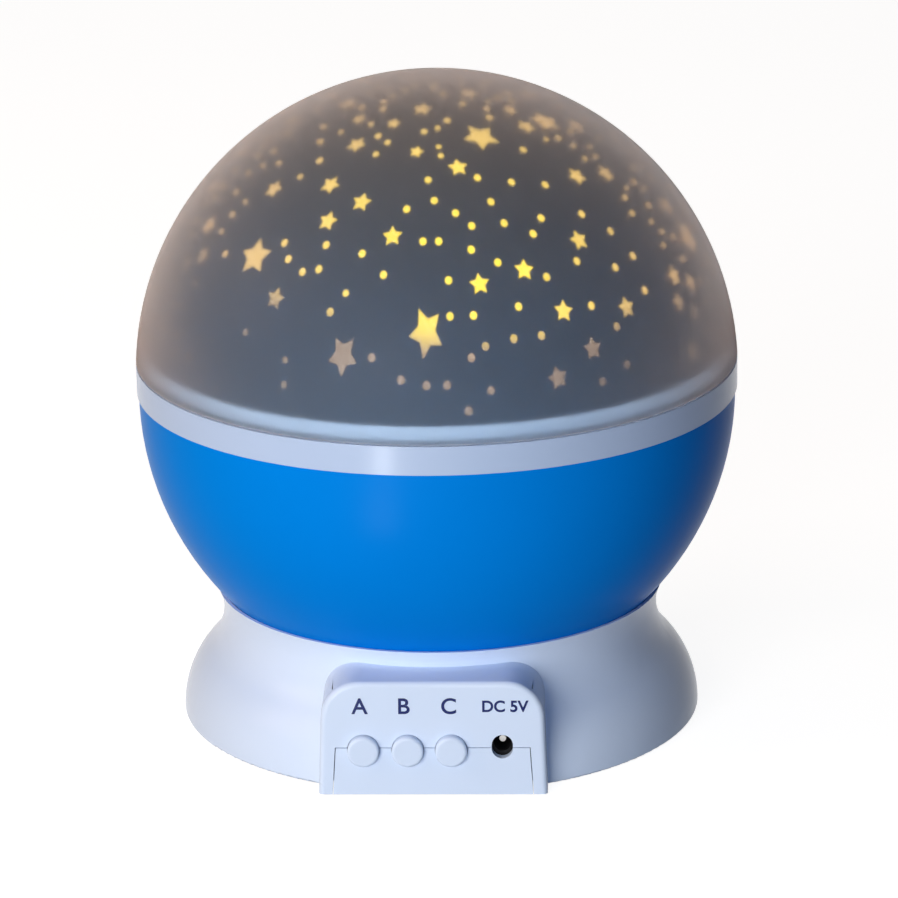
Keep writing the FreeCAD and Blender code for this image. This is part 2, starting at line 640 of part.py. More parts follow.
def build_base_shell():
    """White foot: a bell with a waist, the panel that stands out at its front, a ledge for the bowl
    and four posts for the bottom cover."""
    piece = new_piece("base_shell")
    half, back = "panel_width/2", "-(%s-panel_depth)" % PANEL_FACE
    slab = plane(piece, "XY_Plane", "foot_low")
    block(slab, "-" + half, half, "-" + PANEL_FACE, back)
    high = "(panel_height+panel_slope*2)"
    pad = raised(piece, slab, high + "-foot_low")
    bind(pad, TaperAngle="-panel_draft")
    roof = plane(piece, "YZ_Plane", "-panel_width")
    roof_front, roof_back = "(%s-past)" % panel_y("panel_height"), back + "+past"
    roof_low = "panel_height-panel_slope*past/(%s-%s)" % (PANEL_FACE, NECK_R)
    roof_high = high + "+past"
    trace(roof, [(roof_front, roof_low), (roof_back, "panel_height+panel_slope"), (roof_back, roof_high),
                 (roof_front, roof_high)])
    cut(piece, roof, "panel_width*2")
    side = value("panel_width/2-panel_corner")
    waist = value("panel_height/2")
    rounded(piece, lambda edge: edge.CenterOfMass.z > waist and abs(edge.CenterOfMass.x) > side
            and edge.BoundBox.YLength > max(edge.BoundBox.XLength, edge.BoundBox.ZLength), "panel_corner")
    front = value("%s+fit_gap" % panel_y("panel_height"))
    bottom = value("foot_low+run_gap")
    rounded(piece, lambda edge: edge.BoundBox.YMax < front and edge.CenterOfMass.z > bottom, "panel_edge")
    outer = [
        ("0", "foot_low"),
        (FOOT_R + "-foot_edge", "foot_low"),
        (FOOT_R, FOOT_Z),
        on_shoulder("0"),
        (waist_at(LIP_TOP, "0"), LIP_TOP),
        ("0", LIP_TOP),
    ]
    bends = {1: "foot_edge", 2: "foot_round", 3: "-" + WAIST_R}
    turned(piece, trace(plane(piece, "XZ_Plane"), outer, bends))
    inner = [
        ("0", "foot_low-past"),
        (FOOT_R + "-base_wall", "foot_low-past"),
        (FOOT_R + "-base_wall", FOOT_Z),
        on_shoulder("base_wall"),
        (waist_at(LEDGE_LOW, "base_wall"), LEDGE_LOW),
        ("0", LEDGE_LOW),
    ]
    bends = {2: "foot_round-base_wall", 3: "-(%s+base_wall)" % WAIST_R}
    turned_out(piece, trace(plane(piece, "XZ_Plane"), inner, bends))
    ball = "(%s+lip_gap)" % BOWL_R
    mouth = [
        ("0", "bowl_floor"),
        (across_ball(ball, BOWL_Z, "bowl_floor"), "bowl_floor"),
        (across_ball(ball, BOWL_Z, LIP_TOP + "+past"), LIP_TOP + "+past"),
        ("0", LIP_TOP + "+past"),
    ]
    turned_out(piece, trace(plane(piece, "XZ_Plane"), mouth, {1: ball}))
    hole = plane(piece, "XY_Plane", LEDGE_LOW)
    cut(piece, rings(hole, [("0", "0")], "floor_radius-ledge_width"), "ledge_wall")
    room = plane(piece, "XY_Plane", "foot_low")
    inside = "(panel_width/2-base_wall)"
    block(room, "-" + inside, inside, "-(%s-base_wall)" % PANEL_FACE, "-(%s-base_wall*2)" % BOARD_FACE)
    pocket = cut(piece, room, "panel_height-foot_low-base_wall")
    bind(pocket, TaperAngle="-panel_draft")
    opening = flap(plane(piece, "XZ_Plane", PANEL_FACE + "-base_wall*2"), "0")
    cut(piece, opening, "base_wall*3")
    panel_holes(piece)
    holes = plane(piece, "XY_Plane", LEDGE_LOW)
    cut(piece, rings(holes, BOWL_SCREWS, "screw_radius+run_gap"), "ledge_wall")
    posts = plane(piece, "XY_Plane", COVER_TOP)
    raised(piece, rings(posts, POSTS, "boss_radius"), "%s-%s" % (LEDGE_LOW, COVER_TOP))
    pilot = plane(piece, "XY_Plane", COVER_TOP)
    cut(piece, rings(pilot, POSTS, "screw_radius+run_gap"), "screw_bite")


DOOR_TOP = "(%s+door_wall)" % COVER_LOW
CELL_Z = "(%s+cell_gap+cell_radius)" % DOOR_TOP
BAY_ROOF = "(%s+cell_radius+cell_gap)" % CELL_Z
BAY_TOP = "(%s+bay_wall)" % BAY_ROOF
HINGE_Y = "(%s+bay_wall+hinge_space)" % BAY_Y
HINGE_Z = "(%s+hinge_radius)" % COVER_LOW
DOOR_X = "(%s+bay_wall)" % BAY_X
DOOR_FRONT = "(%s+bay_wall+fit_gap*2)" % BAY_Y
PAD_RING = "(%s-pad_inset-pad_radius)" % FOOT_R
PAD_PLACES = [("%s%s*cos(pad_angle)" % (sx, PAD_RING), "%s%s*sin(pad_angle)" % (sy, PAD_RING))
              for sx in ("", "-") for sy in ("", "-")]
BOARD_HALF = "(panel_width/2-base_wall-board_side)"


def build_bottom_cover():
    """Bottom cover: a plate in the foot, the flap that closes the panel below the buttons, and the
    battery bay, open downwards."""
    piece = new_piece("bottom_cover")
    plate = plane(piece, "XY_Plane", COVER_LOW)
    raised(piece, rings(plate, [("0", "0")], FOOT_R + "-base_wall-fit_gap"), "cover_wall")
    apron = plane(piece, "XY_Plane", COVER_LOW)
    half = "(%s-tongue_taper-parting_gap)" % TONGUE_HALF
    block(apron, "-" + half, half, "-(%s-base_wall/2)" % PANEL_FACE, "-" + BOARD_FACE)
    raised(piece, apron, "cover_wall")
    front = flap(plane(piece, "XZ_Plane", PANEL_FACE + "-base_wall"), "parting_gap")
    raised(piece, front, "base_wall")
    lean = plane(piece, "YZ_Plane", "-panel_width")
    low, high = "(foot_low-past)", "(parting_height+past)"
    outside = "-%s-past*2" % PANEL_FACE
    trace(lean, [(panel_y(low), low), (panel_y(high), high), (outside, high), (outside, low)])
    cut(piece, lean, "panel_width*2")
    panel_holes(piece)
    bay = plane(piece, "XY_Plane", COVER_LOW)
    across, along = "(%s+bay_wall)" % BAY_X, "(%s+bay_wall)" % BAY_Y
    block(bay, "-" + across, across, "-" + along, along)
    raised(piece, bay, "%s-%s" % (BAY_TOP, COVER_LOW))
    room = plane(piece, "XY_Plane", COVER_LOW)
    block(room, "-" + BAY_X, BAY_X, "-" + BAY_Y, BAY_Y)
    cut(piece, room, "%s-%s" % (BAY_ROOF, COVER_LOW))
    seat = plane(piece, "XY_Plane", COVER_LOW)
    wide = "(%s+fit_gap)" % DOOR_X
    block(seat, "-" + wide, wide, "-(%s+fit_gap)" % DOOR_FRONT, HINGE_Y)
    cut(piece, seat, "door_wall")
    knuckle = plane(piece, "XY_Plane", COVER_LOW)
    block(knuckle, "-" + wide, wide, "%s+bay_wall" % BAY_Y, "%s+hinge_radius+fit_gap" % HINGE_Y)
    cut(piece, knuckle, "cover_wall")
    socket = plane(piece, "YZ_Plane", "-(%s+hinge_pin_length+fit_gap)" % DOOR_X)
    rings(socket, [(HINGE_Y, HINGE_Z)], "hinge_pin+run_gap")
    cut(piece, socket, "(%s+hinge_pin_length+fit_gap)*2" % DOOR_X)
    thumb = plane(piece, "XY_Plane", COVER_LOW)
    rings(thumb, [("0", "-(%s+fit_gap+thumb_radius/2)" % DOOR_FRONT)], "thumb_radius")
    cut(piece, thumb, "thumb_depth")
    recess = plane(piece, "XY_Plane", COVER_LOW)
    cut(piece, rings(recess, PAD_PLACES, "pad_radius+run_gap"), "pad_depth")
    counterbore = plane(piece, "XY_Plane", COVER_LOW)
    cut(piece, rings(counterbore, POSTS, "screw_head+run_gap"), "screw_head_height")
    hole = plane(piece, "XY_Plane", COVER_LOW)
    cut(piece, rings(hole, POSTS, "screw_radius+run_gap"), "cover_wall")
    ribs = plane(piece, "XY_Plane", COVER_TOP)
    near, far = "-(%s-board_wall-run_gap)" % BOARD_FACE, "-(%s-board_wall-base_wall)" % BOARD_FACE
    outer = "(%s-rib_inset)" % BOARD_HALF
    inner = "(%s-rib_width)" % outer
    for left, right in (("-" + outer, "-" + inner), (inner, outer)):
        block(ribs, left, right, near, far)
    raised(piece, ribs, "rib_height")


def build_door():
    """Battery door: a plate that swings down on two pins at its back edge."""
    piece = new_piece("battery_door")
    section = plane(piece, "YZ_Plane", "-" + DOOR_X)
    high = "(%s+hinge_radius)" % HINGE_Z
    corner = "(%s-hinge_radius)" % HINGE_Y
    outline = [
        ("-" + DOOR_FRONT, COVER_LOW),
        (HINGE_Y, COVER_LOW),
        (HINGE_Y + "+hinge_radius", HINGE_Z),
        (HINGE_Y, high),
        (corner, HINGE_Z),
        (corner, DOOR_TOP),
        ("-" + DOOR_FRONT, DOOR_TOP),
    ]
    trace(section, outline, {1: "hinge_radius", 2: "hinge_radius", 3: "hinge_radius"})
    raised(piece, section, DOOR_X + "*2")
    pins = plane(piece, "YZ_Plane", "-(%s+hinge_pin_length)" % DOOR_X)
    raised(piece, rings(pins, [(HINGE_Y, HINGE_Z)], "hinge_pin"), "(%s+hinge_pin_length)*2" % DOOR_X)


def build_cells():
    """Four AAA cells side by side, turned end for end in turn, with their contacts."""
    ends = {"springs": [], "plates": []}
    for number in range(4):
        piece = new_piece("battery_cell_%d" % (number + 1))
        across = "%s*%.1f" % (CELL_PITCH, number - 1.5)
        nub_front = number % 2 == 0
        can = "(cell_length-cell_nub_height)"
        can_low = "-cell_length/2" if nub_front is False else "-(cell_length/2-cell_nub_height)"
        body = plane(piece, "XZ_Plane", "-(%s+%s)" % (can_low, can))
        raised(piece, rings(body, [(across, CELL_Z)], "cell_radius"), can)
        nub = plane(piece, "XZ_Plane", "(cell_length/2-cell_nub_height)" if nub_front else "-cell_length/2")
        raised(piece, rings(nub, [(across, CELL_Z)], "cell_nub"), "cell_nub_height")
        ends["plates"].append((across, nub_front))
        ends["springs"].append((across, not nub_front))
    for kind, places in ends.items():
        piece = new_piece("contact_" + kind)
        reach = "(contact_space-contact_wall-run_gap*2)"
        for across, at_front in places:
            leaf = plane(piece, "XZ_Plane", ("%s-contact_wall" if at_front else "-%s") % BAY_Y)
            half = "contact_width/2"
            block(leaf, across + "-" + half, across + "+" + half, CELL_Z + "-" + half, CELL_Z + "+" + half)
            raised(piece, leaf, "contact_wall")
            tip = "spring_radius" if kind == "springs" else "bump_radius"
            bump = plane(piece, "XZ_Plane", "%s-contact_wall-%s" % (BAY_Y, reach) if at_front
                         else "-(%s-contact_wall)" % BAY_Y)
            raised(piece, rings(bump, [(across, CELL_Z)], tip), reach)


def build_control_board():
    """Upright circuit board behind the panel, with three tact switches and the power socket."""
    piece = new_piece("control_board")
    slab = plane(piece, "XZ_Plane", BOARD_FACE + "-board_wall")
    block(slab, "-" + BOARD_HALF, BOARD_HALF, COVER_TOP, "%s+board_height" % COVER_TOP)
    raised(piece, slab, "board_wall")
    half = "switch_width/2"
    for letter, place in zip("abc", BUTTONS):
        switch = new_piece("tact_switch_" + letter)
        body = plane(switch, "XZ_Plane", BOARD_FACE)
        low, high = "button_height-" + half, "button_height+" + half
        block(body, place + "-" + half, place + "+" + half, low, high)
        raised(switch, body, "switch_depth")
        tip = plane(switch, "XZ_Plane", BOARD_FACE + "+switch_depth")
        raised(switch, rings(tip, [(place, "button_height")], "plunger_radius"), "plunger_depth")
    socket = new_piece("power_socket")
    face = "(%s-base_wall-fit_gap)" % panel_y("jack_height").lstrip("-")
    body = plane(socket, "XZ_Plane", BOARD_FACE)
    half = "jack_width/2"
    low, high = "jack_height-" + half, "jack_height+" + half
    block(body, "jack_place-" + half, "jack_place+" + half, low, high)
    raised(socket, body, "%s-%s" % (face, BOARD_FACE))
    floor = "(%s+jack_floor)" % BOARD_FACE
    bore = plane(socket, "XZ_Plane", floor)
    cut(socket, rings(bore, [("jack_place", "jack_height")], "jack_bore"), "%s-%s" % (face, floor))
    pin = new_piece("socket_pin")
    stem = plane(pin, "XZ_Plane", floor)
    rings(stem, [("jack_place", "jack_height")], "jack_pin")
    raised(pin, stem, "%s-pin_inset-%s" % (face, floor))


def build_buttons():
    """Three domed push buttons, each with a flange behind the panel and a stem towards its switch."""
    face = "(%s)" % panel_y("button_height").lstrip("-")
    back = "(%s-base_wall-parting_gap*2)" % face
    for letter, place in zip("abc", BUTTONS):
        piece = new_piece("button_" + letter)
        centre = [(place, "button_height")]
        cap = plane(piece, "XZ_Plane", back)
        raised(piece, rings(cap, centre, "button_radius"), "%s+button_proud-%s" % (face, back))
        behind = value("-(%s+button_proud-button_round)" % face)
        rounded(piece, lambda edge: edge.BoundBox.YMax < behind, "button_round")
        flange = plane(piece, "XZ_Plane", back + "-flange_wall")
        raised(piece, rings(flange, centre, "button_radius+button_flange"), "flange_wall")
        stem_tip = "(%s+switch_depth+plunger_depth+button_travel+run_gap)" % BOARD_FACE
        stem = plane(piece, "XZ_Plane", stem_tip)
        raised(piece, rings(stem, centre, "stem_radius"), "%s-flange_wall-%s" % (back, stem_tip))


def build_pads():
    """Four round rubber feet in recesses of the bottom cover."""
    piece = new_piece("rubber_feet")
    raised(piece, rings(plane(piece, "XY_Plane", "0"), PAD_PLACES, "pad_radius"), "%s+pad_depth" % COVER_LOW)


def build_screws():
    """Screws of the deck, the motor, the bowl and the bottom cover."""
    screws("deck_screws", DECK_SCREWS, DECK_TOP, False, "screw_bite+deck_wall-screw_spare")
    screws("motor_screws", MOTOR_EARS, MOTOR_TOP, True, "motor_plate+deck_wall")
    screws("bowl_screws", BOWL_SCREWS, LEDGE_LOW, True, "screw_bite+ledge_wall-screw_spare")
    screws("cover_screws", POSTS, "(%s+screw_head_height)" % COVER_LOW, True,
           "screw_bite+cover_wall-screw_head_height-screw_spare")


BEND_SHARE = 0.45   # how much of the shorter run a bend takes up


def lead(label, route):
    """A two-core lead: straight runs joined by tangent arcs, swept with the lead's round section."""
    spots = [FreeCAD.Vector(*[value(rule) for rule in spot]) for spot in route]
    size = value("lead_radius")
    path, at = [], spots[0]
    for before, corner, after in zip(spots, spots[1:], spots[2:]):
        run_in, run_out = corner - before, after - corner
        turn = run_in.getAngle(run_out)
        room = BEND_SHARE * min(run_in.Length, run_out.Length)
        start = corner - FreeCAD.Vector(run_in).normalize() * room
        stop = corner + FreeCAD.Vector(run_out).normalize() * room
        radius = room / math.tan(turn / 2)
        toward = (start + stop) * 0.5 - corner
        middle = corner + FreeCAD.Vector(toward).normalize() * (radius / math.cos(turn / 2) - radius)
        path += [Part.LineSegment(at, start).toShape(), Part.Arc(start, middle, stop).toShape()]
        at = stop
        print("%s: bend radius %.1f" % (label, radius))
    path.append(Part.LineSegment(at, spots[-1]).toShape())
    spine = Part.Wire(path)
    ring = Part.Wire(Part.Circle(spots[0], spots[1] - spots[0], size).toShape())
    piece = doc.addObject("Part::Feature", label)
    piece.Shape = spine.makePipeShell([ring], True, False)
    piece.Label = label
    pieces.append(piece)
    expected = spine.Length * math.pi * size ** 2
    print("%s: length %.0f, volume %.0f of %.0f" % (label, spine.Length, piece.Shape.Volume, expected))


def build_leads():
    """Leads inside the lamp: the lights' lead down the hollow post, and the motor's lead, both
    through the hole in the bowl's floor to the control board."""
    board_back = "-(%s-board_wall-lead_radius-run_gap)" % BOARD_FACE
    board_top = "(%s+board_height-3)" % COVER_TOP
    over_bay = "((%s+%s)/2)" % (BAY_TOP, LEDGE_LOW)
    lead("lights_lead", [
        ("0", "0", POST_TOP),
        ("0", "0", DECK_LOW + "-4"),
        ("-1", "-1", "bowl_floor+12"),
        ("-1.5", "-2", over_bay),
        ("-3", "-22", over_bay + "+1"),
        ("-3", board_back + "+2", board_top + "+2"),
        ("-3", board_back, board_top),
    ])
    lead("motor_lead", [
        (PINION_X, "0", "%s-motor_height" % MOTOR_TOP),
        (PINION_X, "0", "%s-motor_height-6" % MOTOR_TOP),
        ("12", "0", "bowl_floor+12"),
        ("2.5", "-1", "bowl_floor+3"),
        ("2", "-2.5", over_bay),
        ("4", "-22", over_bay + "+1"),
        ("5", board_back + "+2", board_top + "+2"),
        ("5", board_back, board_top),
    ])


build_outer_dome()
build_star_dome()
build_turntable()
build_pinion()
build_upper_deck()
build_clip()
build_lights()
build_motor()
build_bowl()
build_base_shell()
build_bottom_cover()
build_door()
build_cells()
build_control_board()
build_buttons()
build_pads()
build_screws()
doc.recompute()
build_leads()
doc.recompute()

for thing in doc.Objects:
    if "Invalid" in thing.State or "Error" in thing.State:
        raise RuntimeError("%s (%s) did not build: %s" % (thing.Name, thing.Label, thing.State))
for piece in pieces:
    if piece.Shape.isNull() or not piece.Shape.isValid() or not piece.Shape.Solids:
        raise RuntimeError("%s has no sound shape" % piece.Label)

os.makedirs("parts", exist_ok=True)
for piece in pieces:
    piece.Shape.exportStep("parts/%s.step" % piece.Label)
    box = piece.Shape.BoundBox
    print("%-18s %2d solid(s) %9.1f mm3  x %6.1f %6.1f  y %6.1f %6.1f  z %6.1f %6.1f" % (
        piece.Label, len(piece.Shape.Solids), piece.Shape.Volume,
        box.XMin, box.XMax, box.YMin, box.YMax, box.ZMin, box.ZMax))
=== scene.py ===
"""Star night light: frosted globe over a turning star dome, blue bowl, white bell foot."""
import math
import random

import bmesh
import bpy
from mathutils import Matrix, Vector


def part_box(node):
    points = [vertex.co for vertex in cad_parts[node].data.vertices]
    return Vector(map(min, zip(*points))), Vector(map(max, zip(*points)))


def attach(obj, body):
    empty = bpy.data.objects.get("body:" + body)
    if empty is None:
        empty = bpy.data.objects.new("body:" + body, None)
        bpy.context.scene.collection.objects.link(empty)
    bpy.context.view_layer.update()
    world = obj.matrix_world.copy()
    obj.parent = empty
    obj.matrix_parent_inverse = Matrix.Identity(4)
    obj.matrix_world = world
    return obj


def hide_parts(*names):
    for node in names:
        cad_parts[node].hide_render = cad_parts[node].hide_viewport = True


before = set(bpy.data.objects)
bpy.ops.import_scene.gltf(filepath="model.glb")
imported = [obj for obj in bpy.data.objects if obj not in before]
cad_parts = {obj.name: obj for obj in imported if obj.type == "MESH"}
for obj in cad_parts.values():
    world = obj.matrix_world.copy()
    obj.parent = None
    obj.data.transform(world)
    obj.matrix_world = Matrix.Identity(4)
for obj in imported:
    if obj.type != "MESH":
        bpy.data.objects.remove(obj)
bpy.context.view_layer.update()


# Rubber feet.
# Four round pads of soft grey rubber, moulded with a dull face.
# They are pressed into recesses of the bottom cover, and the lamp stands on them.

MM = 0.001
COLOUR_PATCHES = 60.0     # patches of slightly different colour to a metre
RUBBER_GREY = (0.30, 0.31, 0.33)


def fresh_finish(name):
    """An empty finish, with its nodes and their links."""
    made = bpy.data.materials.new(name)
    made.use_nodes = True
    return made, made.node_tree.nodes, made.node_tree.links


def moulded_finish(name, colour, roughness, grain=0.0, grain_size=0.4, mottle=0.0, metallic=0.0, gloss=0.5):
    """A moulded or plated face: its colour drifts a little, and a fine grain, in mm, lies in the surface."""
    made, nodes, links = fresh_finish(name)
    shader = nodes["Principled BSDF"]
    shader.inputs["Roughness"].default_value = roughness
    shader.inputs["Metallic"].default_value = metallic
    shader.inputs["Specular IOR Level"].default_value = gloss
    place = nodes.new("ShaderNodeTexCoord")
    drift = nodes.new("ShaderNodeTexNoise")
    drift.inputs["Scale"].default_value = COLOUR_PATCHES
    drift.inputs["Detail"].default_value = 3.0
    links.new(place.outputs["Object"], drift.inputs["Vector"])
    tint = nodes.new("ShaderNodeMix")
    tint.data_type = "RGBA"
    tint.inputs["A"].default_value = (*[c * (1 - mottle) for c in colour], 1)
    tint.inputs["B"].default_value = (*[min(c * (1 + mottle), 1) for c in colour], 1)
    links.new(drift.outputs["Fac"], tint.inputs["Factor"])
    links.new(tint.outputs["Result"], shader.inputs["Base Color"])
    if grain:
        add_grain(nodes, links, place, grain, grain_size)
    return made


def add_grain(nodes, links, place, depth, size):
    """A fine unevenness of the surface, by its depth and size in mm."""
    fine = nodes.new("ShaderNodeTexNoise")
    fine.inputs["Scale"].default_value = 1 / (size * MM)
    fine.inputs["Detail"].default_value = 2.0
    links.new(place.outputs["Object"], fine.inputs["Vector"])
    bump = nodes.new("ShaderNodeBump")
    bump.inputs["Strength"].default_value = 1.0
    bump.inputs["Distance"].default_value = depth * MM
    links.new(fine.outputs["Fac"], bump.inputs["Height"])
    links.new(bump.outputs["Normal"], nodes["Principled BSDF"].inputs["Normal"])


def give_finish(node, made):
    """Give a node of the frame its finish."""
    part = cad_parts[node]
    part.data.materials.clear()
    part.data.materials.append(made)


grey_rubber = moulded_finish("grey_rubber", RUBBER_GREY, roughness=0.75, grain=0.03, mottle=0.08)
give_finish("rubber_feet", grey_rubber)


# Foot, bottom cover and battery door.
# Glossy ABS mouldings, white; the cool blue tint in their colour is a painted cool light cast. The cover is
# screwed into the foot from below, and its front flap fills the lower half of the panel. The door closes the
# battery bay and swings on two pins.

# White ABS, its blue tint a painted cool light cast.
WHITE_WITH_PAINTED_COOL_CAST = (0.645, 0.755, 0.935)

white_abs = moulded_finish("white_abs", WHITE_WITH_PAINTED_COOL_CAST, roughness=0.22, grain=0.003, grain_size=1.2,
                           mottle=0.012, gloss=0.15)
for node in ("base_shell", "bottom_cover", "battery_door"):
    give_finish(node, white_abs)


# Battery cells, contacts and screws.
# Four AAA cells in plain dark sleeves lie side by side in the bay, between leaves and pads of plated steel.
# The screws, the clip on the lamp post, the motor's shaft and the socket's pin are plated steel too.

PLATED_STEEL = (0.62, 0.61, 0.58)
SLEEVE_BLACK = (0.03, 0.035, 0.05)

plated_steel = moulded_finish("plated_steel", PLATED_STEEL, roughness=0.28, grain=0.006, mottle=0.05,
                              metallic=1.0)
cell_sleeve = moulded_finish("cell_sleeve", SLEEVE_BLACK, roughness=0.35, mottle=0.15)
for number in range(1, 5):
    give_finish("battery_cell_%d" % number, cell_sleeve)
for node in ("contact_springs", "contact_plates", "cover_screws", "bowl_screws", "deck_screws",
             "motor_screws", "retaining_clip", "motor_shaft", "socket_pin"):
    give_finish(node, plated_steel)


# Control board, tact switches and power socket.
# A green circuit board stands behind the panel, held by ribs of the bottom cover.
# Three switches and the socket are soldered to it, all in black moulded plastic.

BOARD_GREEN = (0.02, 0.16, 0.06)
SOCKET_BLACK = (0.006, 0.006, 0.008)

board_green = moulded_finish("board_green", BOARD_GREEN, roughness=0.4, grain=0.01, mottle=0.2)
black_plastic = moulded_finish("black_plastic", SOCKET_BLACK, roughness=0.45, mottle=0.2, gloss=0.15)
give_finish("control_board", board_green)
for node in ("tact_switch_a", "tact_switch_b", "tact_switch_c", "power_socket"):
    give_finish(node, black_plastic)


# Push buttons.
# Three round buttons with softly rounded fronts, moulded in the same white ABS as the foot.
# A flange behind the panel keeps each in its hole, and a stem reaches back to its tact switch.

for letter in "abc":
    give_finish("button_" + letter, white_abs)


# Panel lettering.
# The letters A, B and C over the buttons and DC 5V over the socket, in dark blue ink.
# They are printed on the panel's face, which leans back a little.

INK_NAVY = (0.012, 0.022, 0.12)
PANEL_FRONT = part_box("base_shell")[0][1]
PANEL_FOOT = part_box("base_shell")[0][2]
PANEL_LEAN = math.radians(2.2)
PRINT_PROUD = 0.03 * MM
PRINT_THICK = 0.04 * MM
LETTER_HEIGHT = 18.45 * MM     # the middle of the letters, over the table
TYPE_CAPITAL = 0.69            # a capital's height in type of size 1
PANEL_WORDS = (("print_a", "A", -14.1, 3.1, 0.07), ("print_b", "B", -5.6, 3.1, 0.07),
               ("print_c", "C", 3.2, 3.1, 0.07), ("print_dc_5v", "DC 5V", 14.07, 2.2, 0.08))

navy_ink = moulded_finish("navy_ink", INK_NAVY, roughness=0.4, mottle=0.1, gloss=0.15)


def print_on_panel(name, words, across, capital, weight):
    """Letters printed on the panel, centred at a place across it."""
    text = bpy.data.curves.new(name, "FONT")
    text.body = words
    text.align_x = "CENTER"
    text.align_y = "CENTER"
    text.size = capital / TYPE_CAPITAL
    text.offset = weight
    text.extrude = PRINT_THICK
    shape = bpy.data.objects.new(name + "_text", text)
    bpy.context.collection.objects.link(shape)
    bpy.context.view_layer.update()
    mesh = bpy.data.meshes.new_from_object(shape)
    bpy.data.objects.remove(shape)
    depth = PANEL_FRONT + (LETTER_HEIGHT - PANEL_FOOT) * math.tan(PANEL_LEAN) - PRINT_PROUD
    mesh.transform(Matrix.Translation((across, depth, LETTER_HEIGHT))
                   @ Matrix.Rotation(math.radians(90) - PANEL_LEAN, 4, "X"))
    mesh.materials.append(navy_ink)
    piece = bpy.data.objects.new(name, mesh)
    bpy.context.collection.objects.link(piece)
    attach(piece, "lamp_base")


for name, words, across, capital, weight in PANEL_WORDS:
    print_on_panel(name, words, across * MM, capital * MM, weight * MM)


# Bowl.
# The lower half of the ball, a blue ABS moulding with a satin gloss.
# Its flat floor stands on a ledge in the foot, screwed to it from below, and the ring covers its rim.

BOWL_BLUE = (0.0, 0.208, 0.715)

blue_abs = moulded_finish("blue_abs", BOWL_BLUE, roughness=0.3, grain=0.003, grain_size=0.8,
                          mottle=0.02, gloss=0.01)
give_finish("bowl", blue_abs)


# White ring, deck and lamp post.
# One glossy white ABS moulding, screwed down on the bowl: a band between the bowl and the globe, a flat
# deck, and a hollow post in the middle. Its colour is that white painted darker and bluer: painted shade and
# a painted cool light cast.

# The white ABS with painted shade and a painted cool light cast.
RING_WHITE_PAINTED_SHADE = (0.43, 0.54, 0.745)

ring_abs_painted_shade = moulded_finish("ring_abs_painted_shade", RING_WHITE_PAINTED_SHADE, roughness=0.22, grain=0.003, grain_size=1.2,
                          mottle=0.012, gloss=0.15)
give_finish("upper_deck", ring_abs_painted_shade)


# Lamp board and light chips.
# A round white circuit board on top of the post, facing up.
# One warm chip is soldered to its middle, with a red, a green and a blue one around it.

BOARD_WHITE = (0.75, 0.76, 0.73)
CHIP_COLOURS = {"warm": (0.95, 0.72, 0.2), "red": (0.7, 0.3, 0.25), "green": (0.4, 0.7, 0.4),
                "blue": (0.35, 0.45, 0.8)}

give_finish("lamp_board", moulded_finish("board_white", BOARD_WHITE, roughness=0.45, mottle=0.03))
for colour, shade in CHIP_COLOURS.items():
    give_finish("light_chip_" + colour, moulded_finish("chip_" + colour, shade, roughness=0.2, mottle=0.05))


# Gear motor, pinion and leads.
# The motor is a plated can screwed up against the deck, and its pinion is cream-coloured acetal.
# Two thin red leads join the lamp board and the motor to the control board.

CAN_GREY = (0.5, 0.5, 0.51)
ACETAL_CREAM = (0.75, 0.72, 0.62)
WIRE_RED = (0.35, 0.015, 0.015)

motor_can = moulded_finish("motor_can", CAN_GREY, roughness=0.3, grain=0.01, mottle=0.08, metallic=1.0)
give_finish("gear_motor", motor_can)
give_finish("drive_pinion", moulded_finish("acetal", ACETAL_CREAM, roughness=0.4, mottle=0.03))
red_wire = moulded_finish("red_wire", WIRE_RED, roughness=0.45, mottle=0.1)
for node in ("lights_lead", "motor_lead"):
    give_finish(node, red_wire)


# Turntable.
# A white moulding that turns around the lamp post, held down by the clip.
# Its rim carries the star dome, and shows through the frosted globe just over the ring.

# White, its blue tint a painted cool light cast.
TURNTABLE_WHITE_PAINTED_COOL = (0.60, 0.70, 0.86)

turntable_white = moulded_finish("turntable_white", TURNTABLE_WHITE_PAINTED_COOL, roughness=0.4, grain=0.005, mottle=0.02)
give_finish("turntable", turntable_white)


# Star dome.
# A thin clear dome, printed dark all over apart from its windows, and set on the turntable's rim.
# The print is satin and almost black; its blue cast low down is a painted cool light, and its brownish
# turn towards the top is a painted warm haze.

dome_low, dome_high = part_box("star_dome")
STAR_BOTTOM = dome_low[2]
STAR_TOP = dome_high[2]
STAR_EDGE = dome_high[0]
STAR_WALL = 0.8 * MM
STAR_RISE = STAR_TOP - STAR_BOTTOM
STAR_R = (STAR_EDGE ** 2 + STAR_RISE ** 2) / (2 * STAR_RISE)
DOME_CENTRE = STAR_TOP - STAR_R
STAR_STEPS = 64           # steps of the arc from the rim to the top
TURN_STEPS = 256          # steps around the lamp
SHARP_CORNER = math.radians(35)
ON_THE_AXIS = 0.001 * MM
# The print's colour from the rim to the top, with painted light: cool blue low down, warm brown haze at the
# top.
PRINT_WITH_PAINTED_LIGHT = ((0.0, (0.006, 0.040, 0.095)), (0.35, (0.012, 0.036, 0.085)), (0.65, (0.020, 0.026, 0.050)),
                (1.0, (0.060, 0.036, 0.024)))


def arc(centre, radius, start, stop, steps):
    """Points on an arc beside the lamp's axis, from one angle to another in degrees over the level."""
    return [(centre[0] + radius * math.cos(math.radians(start + (stop - start) * k / steps)),
             centre[1] + radius * math.sin(math.radians(start + (stop - start) * k / steps)))
            for k in range(steps + 1)]


